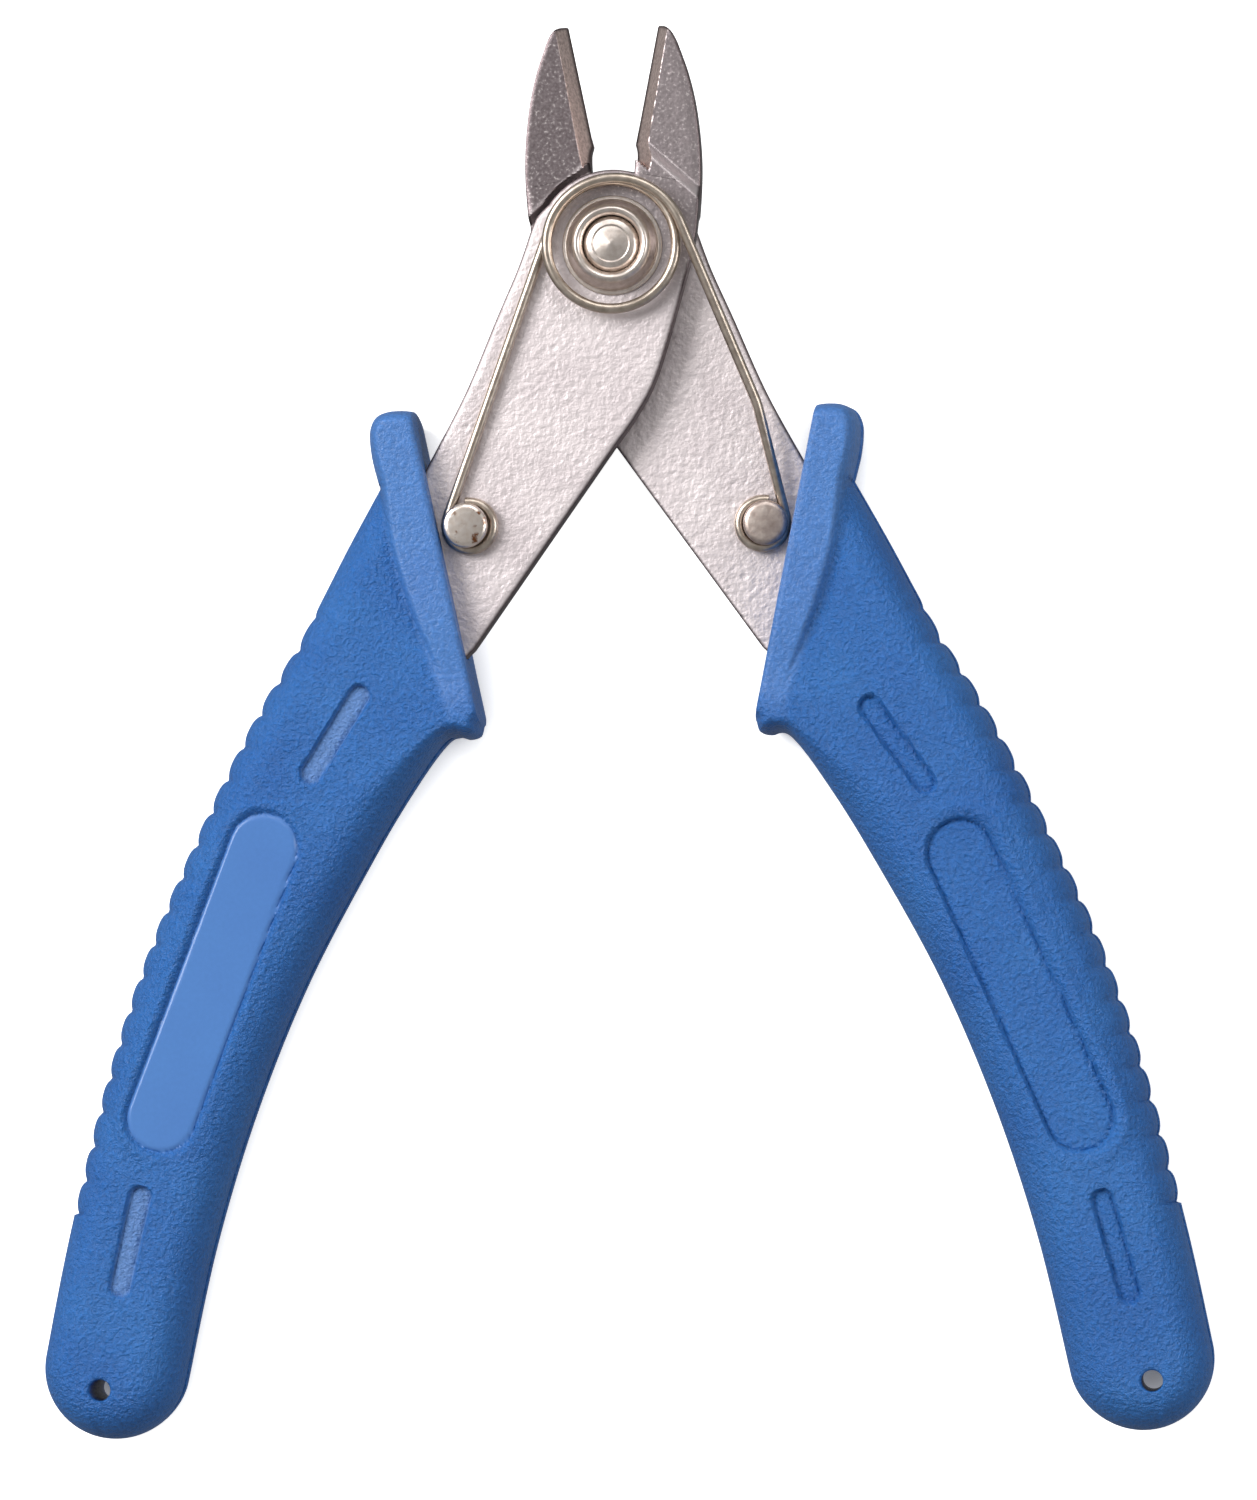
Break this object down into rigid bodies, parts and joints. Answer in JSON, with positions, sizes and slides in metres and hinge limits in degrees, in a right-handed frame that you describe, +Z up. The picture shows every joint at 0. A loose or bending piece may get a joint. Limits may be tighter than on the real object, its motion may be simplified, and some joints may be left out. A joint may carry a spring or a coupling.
{
  "type": "flush cut pliers",
  "caption": "Small sprung nippers: two stamped steel blades crossing at a rivet, open jaws ground on the front, flush on the back, with curved moulded grips.",
  "frame": {"origin": "middle of the rectangle that the open pliers cover on the surface they lie on, at that surface", "axes": "+Y towards the jaws, +X towards the handle of the rear blade, +Z up through the rivet, out of the front"},
  "size_m": [0.1016, 0.1228, 0.0108],
  "materials": {
    "blade_steel": "tumbled satin stainless steel",
    "rivet_steel": "turned steel",
    "post_steel": "peened steel with rust spots",
    "spring_wire": "drawn stainless wire",
    "grip_plastic": "fine spark-eroded grain"
  },
  "bodies": {
    "rear_lever": {"rear_blade": "blade_steel", "right_grip": "grip_plastic", "right_spring_post": "post_steel", "pivot_rivet": "rivet_steel", "pivot_collar": "rivet_steel"},
    "front_lever": {"front_blade": "blade_steel", "left_grip": "grip_plastic", "left_spring_post": "post_steel", "torsion_spring": "spring_wire"}
  },
  "joints": [
    {"name": "pivot", "type": "hinge", "parent": "rear_lever", "child": "front_lever", "pos_m": [0, 0.0419, 0.0054], "axis": [0, 0, 1], "range_deg": [0, 22.5], "stiffness_Nm_per_rad": 0.13, "springref_deg": -34.38, "deforming": ["torsion_spring"]}
  ]
}
